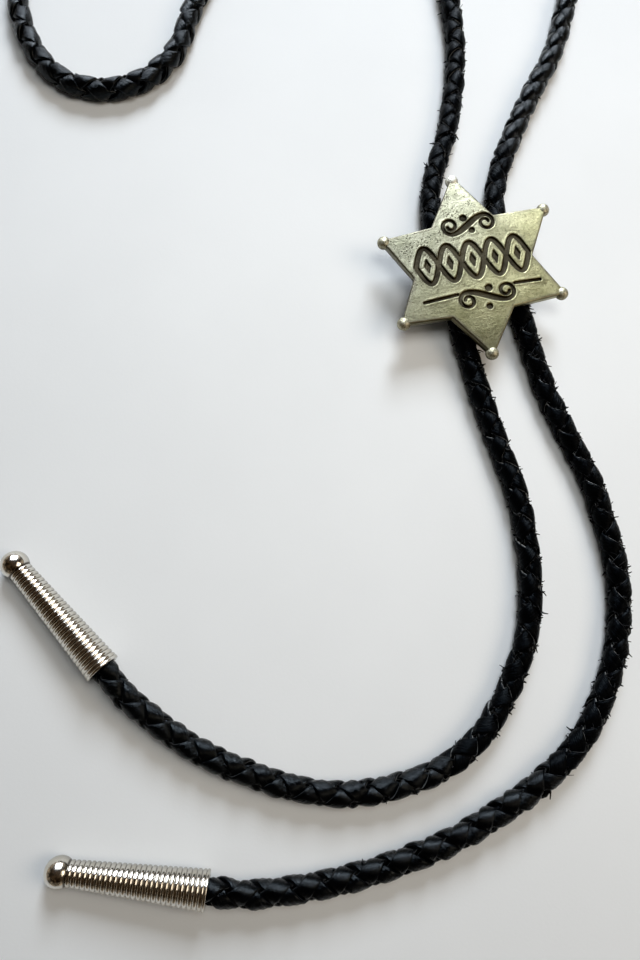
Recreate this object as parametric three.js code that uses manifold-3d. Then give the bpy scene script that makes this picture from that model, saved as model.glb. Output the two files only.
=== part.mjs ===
// Bolo tie: a braided leather cord with two ribbed metal tips, and a star-shaped slide on it.
// Millimetres, +Z up. It lies on the plane z = 0. The origin is under the middle of the slide's
// keeper, +Y runs up the star towards the neck loop, and the cord's two tails run towards -Y.
import * as THREE from 'three';
import { mergeVertices } from 'three/addons/utils/BufferGeometryUtils.js';
import Module from 'manifold-3d';

const wasm = await Module();
wasm.setup();

// Driving sizes
const cordDiameter = 4.8;
const cordClearance = 0.3; // all round the cord, in the keeper and in the tips
const seatGap = 0.3; // between metal faces that lie against each other

const keeper = {
  sheet: 0.9, // thickness of the bent sheet
  depth: 14, // along the cord
  cordSpacing: 15, // between the middles of the two strands
};

const star = {
  reach: 21.5, // from the star's middle to the middle of a ball on its arms
  pointOvershoot: 0.9, // how far an arm's sharp point lies past the middle of its ball
  notchSpread: 1.06, // how much further out a notch lies than where two crossed triangles have it
  thickness: 1.8,
  edgeBevel: 0.3,
  ballDiameter: 3.0,
  ballHeight: 2.5, // the balls are a little flat
  postDiameter: 5,
  sideShift: -2.2, // the star sits a little to the left of the keeper's middle
  engravingDepth: 0.35,
};

const tip = {
  length: 30, // from the mouth to the end of the ball
  mouthDiameter: 7,
  neckDiameter: 4.5,
  ballDiameter: 5.5,
  ribCount: 27,
  ribDepth: 0.2,
  plainMouth: 0.5, // smooth band at the mouth
  ribValley: 0.1, // where a rib's valley and crest lie, as shares of its pitch
  ribCrest: 0.6,
  socketDepth: 6,
};

// Facets
const detail = {
  cordSides: 10,
  cordStep: 2.5 * cordDiameter,
  tipSides: 14,
  tipBallSteps: 7,
  starBallAround: 12,
  starBallUp: 8,
  postSides: 20,
  curlSteps: 14,
  scrollMiddleSteps: 6,
  dotSteps: 3,
};

// The cord's way, from the left tip's mouth to the right tip's mouth. These points are chosen by hand.
const onFloor = 0.1; // the braid touches the floor only here and there
const inKeeper = keeper.sheet + cordClearance;
const inMouth = (tip.mouthDiameter - cordDiameter) / 2;
const nearMouth = onFloor + 0.55 * inMouth;
const nearKeeper = onFloor + 0.2 * inKeeper;
const cordRoute = [
  { x: -95.1, y: -69.5, rise: inMouth },
  { x: -91.0, y: -76.4, rise: nearMouth },
  { x: -76.7, y: -91.1, rise: onFloor },
  { x: -52.9, y: -102.8, rise: onFloor },
  { x: -28.5, y: -100.4, rise: onFloor },
  { x: -10.2, y: -81.4, rise: onFloor },
  { x: -4.3, y: -57.8, rise: onFloor },
  { x: -6.0, y: -33, rise: onFloor },
  { x: -7.5, y: -9, rise: inKeeper },
  { x: -7.5, y: 9, rise: inKeeper },
  { x: -5.7, y: 21.5, rise: nearKeeper },
  { x: 4.4, y: 42, rise: onFloor },
  { x: 11.8, y: 66.5, rise: onFloor },
  { x: 11.5, y: 92, rise: onFloor },
  { x: -7.5, y: 110, rise: onFloor },
  { x: -33, y: 106, rise: onFloor },
  { x: -49, y: 85.5, rise: onFloor },
  { x: -60, y: 66.3, rise: onFloor },
  { x: -71.5, y: 60.1, rise: onFloor },
  { x: -83.6, y: 62.8, rise: onFloor },
  { x: -91, y: 74.5, rise: onFloor },
  { x: -91.5, y: 94, rise: onFloor },
  { x: -77.5, y: 121.5, rise: onFloor },
  { x: -49, y: 138.5, rise: onFloor },
  { x: -10, y: 143, rise: onFloor },
  { x: 30, y: 133, rise: onFloor },
  { x: 53, y: 104, rise: onFloor },
  { x: 39.4, y: 62.7, rise: onFloor },
  { x: 23.3, y: 41.2, rise: onFloor },
  { x: 10.8, y: 21.8, rise: nearKeeper },
  { x: 7.5, y: 9, rise: inKeeper },
  { x: 7.5, y: -9, rise: inKeeper },
  { x: 9.0, y: -31, rise: onFloor },
  { x: 13.5, y: -56, rise: onFloor },
  { x: 11.3, y: -80.5, rise: onFloor },
  { x: -3.5, y: -102.8, rise: onFloor },
  { x: -28.7, y: -114.1, rise: onFloor },
  { x: -54, y: -117.3, rise: onFloor },
  { x: -74.9, y: -115.3, rise: nearMouth },
  { x: -82.4, y: -112.6, rise: inMouth },
];

// The star's arms in order, clockwise from the top. The casting is a little uneven:
// turn is the arm's angle in degrees, and share is its reach as a share of star.reach.
const starArms = [
  { arm: 'top', turn: 89, share: 0.995 },
  { arm: 'upper right', turn: 29, share: 1.065 },
  { arm: 'lower right', turn: -28, share: 0.98 },
  { arm: 'bottom', turn: -93, share: 0.98 },
  { arm: 'lower left', turn: -149.7, share: 1.02 },
  { arm: 'upper left', turn: -204.5, share: 0.965 },
];

// Engraving, with lengths as shares of star.reach, from the star's middle, x right and y up
const scrollStroke = 0.036; // full width of a scroll's stroke in its curls
const scrollSwell = 0.034; // what the stroke gains in its middle
const curlRadius = 0.093;
const curlInnerShare = 0.36; // where the curl's end lies, as a share of curlRadius
const curlTurns = 1.2;
const scrolls = [
  { name: 'upper', left: [-0.147, 0.457], right: [0.246, 0.452], rising: true },
  { name: 'lower', left: [-0.164, -0.394], right: [0.263, -0.34], rising: false },
];
const engravedDots = [
  { x: 0.015, y: 0.53, radius: 0.04 },
  { x: 0.074, y: 0.383, radius: 0.034 },
  { x: 0.084, y: -0.286, radius: 0.04 },
  { x: 0.043, y: -0.488, radius: 0.034 },
];
const engravedLines = [
  { from: [-0.624, -0.345], to: [-0.265, -0.312], width: 0.036 },
  { from: [0.375, -0.277], to: [0.656, -0.281], width: 0.036 },
];
// Band of ornament across the middle: two waves that cross, with a lozenge in each eye
const band = {
  left: -0.62,
  right: 0.62,
  middle: 0.05,
  halfHeight: 0.2,
  eyes: 5,
  stroke: 0.056,
  lozengeWidth: 0.07,
  lozengeHeight: 0.17,
  stepsPerEye: 6,
};

// Sizes that follow
const cordRadius = cordDiameter / 2;
const starBack = keeper.sheet + cordDiameter + 2 * cordClearance;
const starTop = starBack + star.thickness;
const ornament = star.reach;

const finishes = {
  leather: { color: 0x14141a, roughness: 0.45, metalness: 0 },
  pewter: { color: 0xa8a394, roughness: 0.42, metalness: 1 },
  nickel: { color: 0xd6d3cc, roughness: 0.14, metalness: 1 },
  steel: { color: 0x8f8f8c, roughness: 0.4, metalness: 1 },
};

function named(name, geometry, finish) {
  const mesh = new THREE.Mesh(geometry, new THREE.MeshStandardMaterial(finishes[finish]));
  mesh.name = name;
  return mesh;
}

// A closed mesh as a solid that can be joined and cut
function toSolid(geometry) {
  const bare = geometry.index ? geometry.toNonIndexed() : geometry.clone();
  bare.deleteAttribute('normal');
  bare.deleteAttribute('uv');
  const merged = mergeVertices(bare, 1e-4);
  const vertProperties = new Float32Array(merged.attributes.position.array);
  const triVerts = new Uint32Array(merged.index.array);
  return new wasm.Manifold(new wasm.Mesh({ numProp: 3, vertProperties, triVerts }));
}

function toGeometry(solid) {
  const mesh = solid.getMesh();
  const geometry = new THREE.BufferGeometry();
  geometry.setAttribute('position', new THREE.BufferAttribute(mesh.vertProperties, 3));
  geometry.setIndex(new THREE.BufferAttribute(mesh.triVerts, 1));
  const flat = geometry.toNonIndexed();
  flat.computeVertexNormals();
  return flat;
}

// Outline of a stroke along a line of points, with its half width at each point
function strokeOutline(points, halfWidths) {
  const left = [];
  const right = [];
  points.forEach((point, i) => {
    const before = points[Math.max(i - 1, 0)];
    const after = points[Math.min(i + 1, points.length - 1)];
    const along = after.clone().sub(before).normalize();
    const across = new THREE.Vector2(-along.y, along.x).multiplyScalar(halfWidths[i]);
    left.push(point.clone().add(across));
    right.push(point.clone().sub(across));
  });
  return new THREE.Shape([...right, ...left.reverse()]);
}

// One S-shaped scroll: out of the left curl, across, and into the right curl
function scrollOutline({ left, right, rising }) {
  const radius = curlRadius * ornament;
  const side = rising ? 1 : -1;
  const { curlSteps, scrollMiddleSteps } = detail;
  const points = [];
  const shareAt = (k) => curlInnerShare + (1 - curlInnerShare) * (k / curlSteps);
  const leftMiddle = new THREE.Vector2(...left).multiplyScalar(ornament);
  const rightMiddle = new THREE.Vector2(...right).multiplyScalar(ornament);
  for (let k = 0; k <= curlSteps; k += 1) {
    const angle = side * (-Math.PI / 2 - (1 - k / curlSteps) * curlTurns * 2 * Math.PI);
    const r = radius * shareAt(k);
    points.push(new THREE.Vector2(r * Math.cos(angle), r * Math.sin(angle)).add(leftMiddle));
  }
  const start = points[points.length - 1];
  const end = rightMiddle.clone().add(new THREE.Vector2(0, side * radius));
  for (let k = 1; k < scrollMiddleSteps; k += 1) {
    const t = k / scrollMiddleSteps;
    const ease = t * t * (3 - 2 * t);
    points.push(new THREE.Vector2(
      THREE.MathUtils.lerp(start.x, end.x, t),
      THREE.MathUtils.lerp(start.y, end.y, ease),
    ));
  }
  for (let k = curlSteps; k >= 0; k -= 1) {
    const angle = side * (Math.PI / 2 - (1 - k / curlSteps) * curlTurns * 2 * Math.PI);
    const r = radius * shareAt(k);
    points.push(new THREE.Vector2(r * Math.cos(angle), r * Math.sin(angle)).add(rightMiddle));
  }
  const halfWidths = points.map((point, i) => {
    const swell = Math.sin((Math.PI * i) / (points.length - 1)) ** 6;
    return (ornament * (scrollStroke + scrollSwell * swell)) / 2;
  });
  return strokeOutline(points, halfWidths);
}

function bandOutlines() {
  const outlines = [];
  const eyeWidth = ((band.right - band.left) * ornament) / band.eyes;
  const middle = band.middle * ornament;
  for (const side of [1, -1]) {
    const points = [];
    for (let k = 0; k <= band.eyes * band.stepsPerEye; k += 1) {
      const phase = (Math.PI * k) / band.stepsPerEye;
      points.push(new THREE.Vector2(
        band.left * ornament + (eyeWidth * k) / band.stepsPerEye,
        middle + side * band.halfHeight * ornament * Math.sin(phase),
      ));
    }
    outlines.push(strokeOutline(points, points.map(() => (band.stroke * ornament) / 2)));
  }
  for (let eye = 0; eye < band.eyes; eye += 1) {
    const x = band.left * ornament + (eye + 0.5) * eyeWidth;
    const w = (band.lozengeWidth * ornament) / 2;
    const h = (band.lozengeHeight * ornament) / 2;
    outlines.push(new THREE.Shape([
      new THREE.Vector2(x, middle - h),
      new THREE.Vector2(x + w, middle),
      new THREE.Vector2(x, middle + h),
      new THREE.Vector2(x - w, middle),
    ]));
  }
  return outlines;
}

function engravingOutlines() {
  const outlines = [...scrolls.map(scrollOutline), ...bandOutlines()];
  for (const line of engravedLines) {
    const ends = [line.from, line.to].map((p) => new THREE.Vector2(...p).multiplyScalar(ornament));
    const half = (line.width * ornament) / 2;
    outlines.push(strokeOutline(ends, [half, half]));
  }
  for (const dot of engravedDots) {
    const shape = new THREE.Shape();
    shape.absarc(dot.x * ornament, dot.y * ornament, dot.radius * ornament, 0, 2 * Math.PI);
    outlines.push(new THREE.Shape(shape.getPoints(detail.dotSteps)));
  }
  return outlines;
}

function armPlace({ turn, share }, extra = 0) {
  const angle = THREE.MathUtils.degToRad(turn);
  const reach = star.reach * share + extra;
  return new THREE.Vector2(reach * Math.cos(angle), reach * Math.sin(angle));
}

function crossing(a, b, c, d) {
  const ab = b.clone().sub(a);
  const cd = d.clone().sub(c);
  const t = c.clone().sub(a).cross(cd) / ab.cross(cd);
  return a.clone().add(ab.multiplyScalar(t));
}

// The star follows two triangles laid over each other: each notch is near where two sides cross
function starOutline() {
  const points = starArms.map((arm) => armPlace(arm, star.pointOvershoot));
  const at = (i) => points[(i + points.length) % points.length];
  const outline = [];
  points.forEach((point, i) => {
    outline.push(point);
    const notch = crossing(at(i), at(i + 2), at(i + 1), at(i - 1));
    outline.push(notch.multiplyScalar(star.notchSpread));
  });
  return outline.reverse();
}

function starBadge() {
  const plateGeometry = new THREE.ExtrudeGeometry(new THREE.Shape(starOutline()), {
    depth: star.thickness - 2 * star.edgeBevel,
    bevelThickness: star.edgeBevel,
    bevelSize: star.edgeBevel,
    bevelOffset: -star.edgeBevel,
    bevelSegments: 1,
  });
  plateGeometry.translate(0, 0, star.edgeBevel);
  let solid = toSolid(plateGeometry);
  const ballRadius = star.ballDiameter / 2;
  for (const arm of starArms) {
    const place = armPlace(arm);
    const ball = new THREE.SphereGeometry(ballRadius, detail.starBallAround, detail.starBallUp);
    ball.scale(1, 1, star.ballHeight / star.ballDiameter);
    ball.translate(place.x, place.y, star.thickness / 2);
    solid = solid.add(toSolid(ball));
  }
  for (const outline of engravingOutlines()) {
    const cut = new THREE.ExtrudeGeometry(outline, {
      depth: 2 * star.engravingDepth,
      bevelEnabled: false,
    });
    cut.translate(0, 0, star.thickness - star.engravingDepth);
    solid = solid.subtract(toSolid(cut));
  }
  const postLength = starBack - keeper.sheet - seatGap;
  const post = new THREE.CylinderGeometry(star.postDiameter / 2, star.postDiameter / 2,
    postLength + star.thickness / 2, detail.postSides);
  post.rotateX(Math.PI / 2);
  post.translate(-star.sideShift, 0, (star.thickness / 2 - postLength) / 2);
  solid = solid.add(toSolid(post));
  const badge = named('star_badge', toGeometry(solid), 'pewter');
  badge.position.set(star.sideShift, 0, starTop - star.thickness);
  return badge;
}

function keeperClip() {
  const channelHalf = cordDiameter / 2 + cordClearance;
  const inner = keeper.cordSpacing / 2 + channelHalf;
  const outer = inner + keeper.sheet;
  const wallTop = starBack - seatGap;
  const profile = new THREE.Shape([
    new THREE.Vector2(-outer, 0),
    new THREE.Vector2(outer, 0),
    new THREE.Vector2(outer, wallTop),
    new THREE.Vector2(inner, wallTop),
    new THREE.Vector2(inner, keeper.sheet),
    new THREE.Vector2(-inner, keeper.sheet),
    new THREE.Vector2(-inner, wallTop),
    new THREE.Vector2(-outer, wallTop),
  ]);
  const geometry = new THREE.ExtrudeGeometry(profile, { depth: keeper.depth, bevelEnabled: false });
  geometry.rotateX(Math.PI / 2);
  geometry.translate(0, keeper.depth / 2, 0);
  return named('keeper', geometry, 'steel');
}

// Profile of a tip, from its socket's floor out over the mouth, the ribs and the ball
function tipProfile() {
  const socket = cordRadius + cordClearance;
  const mouth = tip.mouthDiameter / 2;
  const neck = tip.neckDiameter / 2;
  const ball = tip.ballDiameter / 2;
  const ballMiddle = tip.length - ball;
  const neckHeight = ballMiddle - Math.sqrt(ball * ball - neck * neck);
  const pitch = (neckHeight - tip.plainMouth) / tip.ribCount;
  const radiusAt = (h) => THREE.MathUtils.lerp(mouth, neck, h / neckHeight);
  const points = [
    new THREE.Vector2(0, tip.socketDepth),
    new THREE.Vector2(socket, tip.socketDepth),
    new THREE.Vector2(socket, 0),
    new THREE.Vector2(mouth, 0),
    new THREE.Vector2(mouth, tip.plainMouth),
  ];
  for (let rib = 0; rib < tip.ribCount; rib += 1) {
    const valley = tip.plainMouth + (rib + tip.ribValley) * pitch;
    const crest = tip.plainMouth + (rib + tip.ribCrest) * pitch;
    points.push(new THREE.Vector2(radiusAt(valley) - tip.ribDepth, valley));
    points.push(new THREE.Vector2(radiusAt(crest), crest));
  }
  const ballStart = Math.asin(neck / ball);
  for (let k = 0; k < detail.tipBallSteps; k += 1) {
    const angle = ballStart + ((Math.PI - ballStart) * k) / detail.tipBallSteps;
    points.push(new THREE.Vector2(ball * Math.sin(angle), ballMiddle - ball * Math.cos(angle)));
  }
  points.push(new THREE.Vector2(0, tip.length));
  return points;
}

// Where a tip's mouth is and which way the tip points. It lies on its mouth's rim and on its ball.
function tipPlace(mouth, next) {
  const between = tip.length - tip.ballDiameter / 2;
  const drop = (tip.mouthDiameter - tip.ballDiameter) / 2 / between;
  const heading = new THREE.Vector2(mouth.x - next.x, mouth.y - next.y).normalize();
  const direction = new THREE.Vector3(heading.x, heading.y, -drop).normalize();
  const height = tip.mouthDiameter / 2 + tip.plainMouth * drop;
  return { position: new THREE.Vector3(mouth.x, mouth.y, height), direction };
}

function ribbedTip(name, place) {
  const mesh = named(name, new THREE.LatheGeometry(tipProfile(), detail.tipSides), 'nickel');
  mesh.position.copy(place.position);
  mesh.quaternion.setFromUnitVectors(new THREE.Vector3(0, 1, 0), place.direction);
  return mesh;
}

const leftPlace = tipPlace(cordRoute[0], cordRoute[1]);
const rightPlace = tipPlace(cordRoute[cordRoute.length - 1], cordRoute[cordRoute.length - 2]);

// The cord's end stands seatGap short of the socket's floor
function seatedEnd({ position, direction }) {
  return position.clone().addScaledVector(direction, tip.socketDepth - seatGap);
}

function cordCurve() {
  const points = cordRoute.map(({ x, y, rise }) => new THREE.Vector3(x, y, cordRadius + rise));
  return new THREE.CatmullRomCurve3(
    [seatedEnd(leftPlace), ...points, seatedEnd(rightPlace)], false, 'centripetal');
}

function cordTube() {
  const curve = cordCurve();
  const section = [];
  for (let k = 0; k < detail.cordSides; k += 1) {
    const angle = (2 * Math.PI * k) / detail.cordSides;
    section.push(new THREE.Vector2(cordRadius * Math.cos(angle), cordRadius * Math.sin(angle)));
  }
  return named('cord', new THREE.ExtrudeGeometry(new THREE.Shape(section), {
    steps: Math.round(curve.getLength() / detail.cordStep),
    bevelEnabled: false,
    extrudePath: curve,
  }), 'leather');
}

const boloTie = new THREE.Group();
boloTie.add(
  cordTube(),
  starBadge(),
  keeperClip(),
  ribbedTip('tip_left', leftPlace),
  ribbedTip('tip_right', rightPlace),
);

export default boloTie;
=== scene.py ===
"""Bolo tie on white paper: a braided leather cord, a star-shaped slide and two ribbed tips.

Metres, +Z up, in the CAD's own frame. Sizes marked mm below are turned into metres by MM.
"""

import math

import bpy
import numpy as np
from mathutils import Matrix, Vector


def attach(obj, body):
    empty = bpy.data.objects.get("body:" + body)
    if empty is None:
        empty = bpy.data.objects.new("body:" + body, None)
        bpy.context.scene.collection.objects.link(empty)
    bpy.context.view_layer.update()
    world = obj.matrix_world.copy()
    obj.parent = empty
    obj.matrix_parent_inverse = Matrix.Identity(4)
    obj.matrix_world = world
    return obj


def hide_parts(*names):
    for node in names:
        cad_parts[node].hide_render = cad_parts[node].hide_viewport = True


MM = 0.001

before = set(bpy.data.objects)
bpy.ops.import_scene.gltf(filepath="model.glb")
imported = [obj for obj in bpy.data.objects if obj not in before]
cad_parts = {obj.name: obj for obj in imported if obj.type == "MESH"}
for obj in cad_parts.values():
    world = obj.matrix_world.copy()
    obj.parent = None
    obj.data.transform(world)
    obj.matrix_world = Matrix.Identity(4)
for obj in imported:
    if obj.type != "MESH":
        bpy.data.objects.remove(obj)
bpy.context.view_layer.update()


# ---------------------------------------------------------------- camera

CAMERA_PLACE = (-0.06395, -0.06585, 0.13932)
CAMERA_RIGHT = (0.9741, -0.2068, 0.0914)
CAMERA_BACK = (-0.1295, -0.1789, 0.9753)
CAMERA_LENS = 24.75
CAMERA_SENSOR = 36


def make_camera():
    """The photograph's view, a little off straight down."""
    data = bpy.data.cameras.new("camera")
    camera = bpy.data.objects.new("camera", data)
    bpy.context.scene.collection.objects.link(camera)
    right = Vector(CAMERA_RIGHT).normalized()
    back = Vector(CAMERA_BACK).normalized()
    up = back.cross(right).normalized()
    right = up.cross(back)
    turn = Matrix((right, up, back)).transposed()
    camera.matrix_world = Matrix.Translation(CAMERA_PLACE) @ turn.to_4x4()
    data.sensor_fit = "AUTO"
    data.sensor_width = CAMERA_SENSOR
    data.lens = CAMERA_LENS
    data.clip_start = 0.01
    data.clip_end = 10
    bpy.context.scene.camera = camera


make_camera()


# ---------------------------------------------------------------- meshes

def make_piece(name, points, faces, attributes=None):
    """A smooth-shaded mesh object from points in metres and a list of face arrays, each N x
    corners. attributes holds a number or a vector for every point, by name."""
    mesh = bpy.data.meshes.new(name)
    points = np.asarray(points, np.float32)
    corners = np.concatenate([f.ravel() for f in faces]).astype(np.int32)
    sizes = np.concatenate([np.full(len(f), f.shape[1]) for f in faces]).astype(np.int32)
    starts = np.concatenate([[0], np.cumsum(sizes)[:-1]]).astype(np.int32)
    mesh.vertices.add(len(points))
    mesh.vertices.foreach_set("co", points.ravel())
    mesh.loops.add(len(corners))
    mesh.loops.foreach_set("vertex_index", corners)
    mesh.polygons.add(len(sizes))
    mesh.polygons.foreach_set("loop_start", starts)
    mesh.polygons.foreach_set("loop_total", sizes)
    mesh.polygons.foreach_set("use_smooth", np.ones(len(sizes), bool))
    mesh.update(calc_edges=True)
    for key, values in (attributes or {}).items():
        values = np.asarray(values, np.float32)
        kind = "FLOAT" if values.ndim == 1 else "FLOAT_VECTOR"
        layer = mesh.attributes.new(key, kind, "POINT")
        layer.data.foreach_set("value" if values.ndim == 1 else "vector", values.ravel())
    mesh.validate()
    piece = bpy.data.objects.new(name, mesh)
    bpy.context.scene.collection.objects.link(piece)
    return piece


def grid_faces(rows, columns, closed=True, start=0):
    """Quads of a grid of rows x columns points, the first of which is point number start.
    closed joins the last column to the first."""
    r = np.arange(rows - 1)[:, None]
    c = np.arange(columns if closed else columns - 1)[None, :]
    after = (c + 1) % columns
    quads = np.stack([r * columns + c, r * columns + after,
                      (r + 1) * columns + after, (r + 1) * columns + c], -1)
    return quads.reshape(-1, 4) + start


def smoothstep(low, high, x):
    """0 at low and 1 at high, smooth between them. low may be the greater of the two."""
    t = np.clip((x - low) / (high - low), 0, 1)
    return t * t * (3 - 2 * t)


def unit(v):
    return v / np.linalg.norm(v, axis=-1, keepdims=True)


def wander(length, step, size, rng):
    """Smooth random values at length points, with a new random value every step points."""
    knots = rng.uniform(-1, 1, int(length / step) + 4)
    x = np.arange(length) / step
    i = x.astype(int)
    t = x - i
    t = t * t * (3 - 2 * t)
    return size * (knots[i] * (1 - t) + knots[i + 1] * t)


# ---------------------------------------------------------------- cord

# All of this in mm. The rises are those of the cord's underside above the floor.
CORD_DIAMETER = 4.8
CORD_RADIUS = CORD_DIAMETER / 2
ON_FLOOR = 0.1
IN_KEEPER = 1.2
IN_MOUTH = 1.1
NEAR_MOUTH = ON_FLOOR + 0.55 * IN_MOUTH
NEAR_KEEPER = ON_FLOOR + 0.2 * IN_KEEPER
TIP_LENGTH = 30.0
TIP_MOUTH = 3.5
TIP_NECK = 2.25
TIP_BALL = 2.75
TIP_PLAIN = 0.5
TIP_SOCKET = 6.0  # the socket's depth, and SEAT_GAP what the cord's end leaves of it
SEAT_GAP = 0.3
RING_STEP = 0.55  # along the cord, from one ring of the laces' points to the next

# x, y and rise in mm, from the left tip's mouth to the right tip's mouth, as in the CAD
ROUTE = [
    (-95.1, -69.5, IN_MOUTH), (-91.0, -76.4, NEAR_MOUTH), (-76.7, -91.1, ON_FLOOR),
    (-52.9, -102.8, ON_FLOOR), (-28.5, -100.4, ON_FLOOR), (-10.2, -81.4, ON_FLOOR),
    (-4.3, -57.8, ON_FLOOR), (-6.0, -33, ON_FLOOR), (-7.5, -9, IN_KEEPER),
    (-7.5, 9, IN_KEEPER), (-5.7, 21.5, NEAR_KEEPER), (4.4, 42, ON_FLOOR),
    (11.8, 66.5, ON_FLOOR), (11.5, 92, ON_FLOOR), (-7.5, 110, ON_FLOOR),
    (-33, 106, ON_FLOOR), (-49, 85.5, ON_FLOOR), (-60, 66.3, ON_FLOOR),
    (-71.5, 60.1, ON_FLOOR), (-83.6, 62.8, ON_FLOOR), (-91, 74.5, ON_FLOOR),
    (-91.5, 94, ON_FLOOR), (-77.5, 121.5, ON_FLOOR), (-49, 138.5, ON_FLOOR),
    (-10, 143, ON_FLOOR), (30, 133, ON_FLOOR), (53, 104, ON_FLOOR),
    (39.4, 62.7, ON_FLOOR), (23.3, 41.2, ON_FLOOR), (10.8, 21.8, NEAR_KEEPER),
    (7.5, 9, IN_KEEPER), (7.5, -9, IN_KEEPER), (9.0, -31, ON_FLOOR),
    (13.5, -56, ON_FLOOR), (11.3, -80.5, ON_FLOOR), (-3.5, -102.8, ON_FLOOR),
    (-28.7, -114.1, ON_FLOOR), (-54, -117.3, ON_FLOOR), (-74.9, -115.3, NEAR_MOUTH),
    (-82.4, -112.6, IN_MOUTH),
]


def tip_place(mouth, following):
    """A tip's mouth and the way it points, in mm. It lies on its mouth's rim and on its ball."""
    drop = (TIP_MOUTH - TIP_BALL) / (TIP_LENGTH - TIP_BALL)
    heading = np.array(mouth[:2]) - np.array(following[:2])
    heading /= np.linalg.norm(heading)
    direction = np.array([*heading, -drop])
    position = np.array([mouth[0], mouth[1], TIP_MOUTH + TIP_PLAIN * drop])
    return position, direction / np.linalg.norm(direction)


LEFT_TIP = tip_place(ROUTE[0], ROUTE[1])
RIGHT_TIP = tip_place(ROUTE[-1], ROUTE[-2])


def cord_centreline(step):
    """Points every step mm on the centripetal spline through the route."""
    knots = [LEFT_TIP[0] + LEFT_TIP[1] * (TIP_SOCKET - SEAT_GAP)]
    knots += [np.array([x, y, CORD_RADIUS + rise]) for x, y, rise in ROUTE]
    knots += [RIGHT_TIP[0] + RIGHT_TIP[1] * (TIP_SOCKET - SEAT_GAP)]
    knots = np.array(knots)
    knots = np.vstack([2 * knots[0] - knots[1], knots, 2 * knots[-1] - knots[-2]])
    fine_steps = 200
    w = np.linspace(0, 1, fine_steps, endpoint=False)[:, None]
    parts = []
    for p0, p1, p2, p3 in zip(knots, knots[1:], knots[2:], knots[3:]):
        d0, d1, d2 = (np.linalg.norm(b - a) ** 0.5 for a, b in ((p0, p1), (p1, p2), (p2, p3)))
        t1 = ((p1 - p0) / d0 - (p2 - p0) / (d0 + d1) + (p2 - p1) / d1) * d1
        t2 = ((p2 - p1) / d1 - (p3 - p1) / (d1 + d2) + (p3 - p2) / d2) * d1
        parts.append(p1 + t1 * w + (3 * (p2 - p1) - 2 * t1 - t2) * w ** 2
                     + (2 * (p1 - p2) + t1 + t2) * w ** 3)
    fine = np.vstack([*parts, knots[-2]])
    along = np.concatenate([[0], np.cumsum(np.linalg.norm(np.diff(fine, axis=0), axis=1))])
    count = int(round(along[-1] / step)) + 1
    s = np.linspace(0, along[-1], count)
    return s, np.stack([np.interp(s, along, fine[:, k]) for k in range(3)], 1)


CORD_S, CORD_LINE = cord_centreline(RING_STEP)

LACE_WIDTH = 3.3
LACE_THICKNESS = 1.15
LACE_MIDDLE = 1.52  # mean distance of a lace from the cord's centreline
LACE_WEAVE = 0.46  # how far a lace goes out over the next one and in under it
LACE_DIVE = 1.7  # how sharply it turns down between the two
LACE_CUP = 0.09  # how much its cut edges bend down, for each mm squared from its middle
ROUND_CUP = 0.12  # how much more they bend where the braid is full
BRAID_LAY = 2.56 * CORD_DIAMETER
SECTION_ANGLES = np.radians([0, 18, 40, 65, 90, 115, 140, 162, 180, 225, 270, 315])
SECTION_POWER = 4.6  # 2 is an ellipse, more is squarer
SECTION_UNDER = 0.8  # the underside's height as a share of the top's
CUT_EDGES = (0, 8)  # the section's points that lie on the lace's two cut edges
CUT_PALE_AND_HIGHLIGHT = {1: 0.6, -1: 1.0}  # how pale a lace's cut edges are, by the way it turns: unfinished leather, with a painted highlight that makes one way's edges paler
LACE_APART = 13.7  # keeps one lace's pattern from another's
FLOOR_CLEAR = 0.1  # the lowest that a lace comes, and FLOOR_FADE how softly it gets there
FLOOR_FADE = 0.25
HIDDEN = -0.9  # a lace is under another one where its weave is below this
LEAST_WEAR = 0.15  # away from the worn stretches
LEFT_FULLNESS = 0.04  # how much fuller the braid is on the full stretches
RIGHT_FULLNESS = 0.125
# Stretches in mm from the left tip: starts, whole from, whole to, ends.
WORN_LEFT = (55, 105, 300, 345)
WORN_RIGHT = (705, 735, 845, 885)
FULL_LEFT = (185, 215, 300, 330)
FULL_RIGHT = (620, 660, 715, 745)


def section_shape():
    """A lace's section across and up, from -1 to 1, as a rounded rectangle."""
    c, s = np.cos(SECTION_ANGLES), np.sin(SECTION_ANGLES)
    u = np.sign(c) * np.abs(c) ** (2 / SECTION_POWER)
    v = np.sign(s) * np.abs(s) ** (2 / SECTION_POWER)
    return u, np.where(v < 0, v * SECTION_UNDER, v)


def on_stretch(s, limits):
    """1 on a stretch of the cord and 0 away from it, at s mm from the left tip."""
    starts, whole_from, whole_to, ends = limits
    return smoothstep(starts, whole_from, s) * (1 - smoothstep(whole_to, ends, s))


def wear_along(s):
    """How worn the cord is at s mm from the left tip: 1 on the tails and near the slide."""
    worn = np.maximum(on_stretch(s, WORN_LEFT), on_stretch(s, WORN_RIGHT))
    return LEAST_WEAR + (1 - LEAST_WEAR) * worn


def fullness_along(s):
    """How full the braid is at s mm: a little more on the neck's strands above the slide."""
    return (1 + LEFT_FULLNESS * on_stretch(s, FULL_LEFT)
            + RIGHT_FULLNESS * on_stretch(s, FULL_RIGHT))


def matt_rows(weave, worn):
    """Where a lace is matt with wear. It only changes where it's hidden under another lace."""
    rows = np.zeros(len(weave), bool)
    state = False
    for i, (depth, wear) in enumerate(zip(weave, worn)):
        if depth < HIDDEN:
            state = wear > 0.5
        rows[i] = state
    return rows


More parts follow.
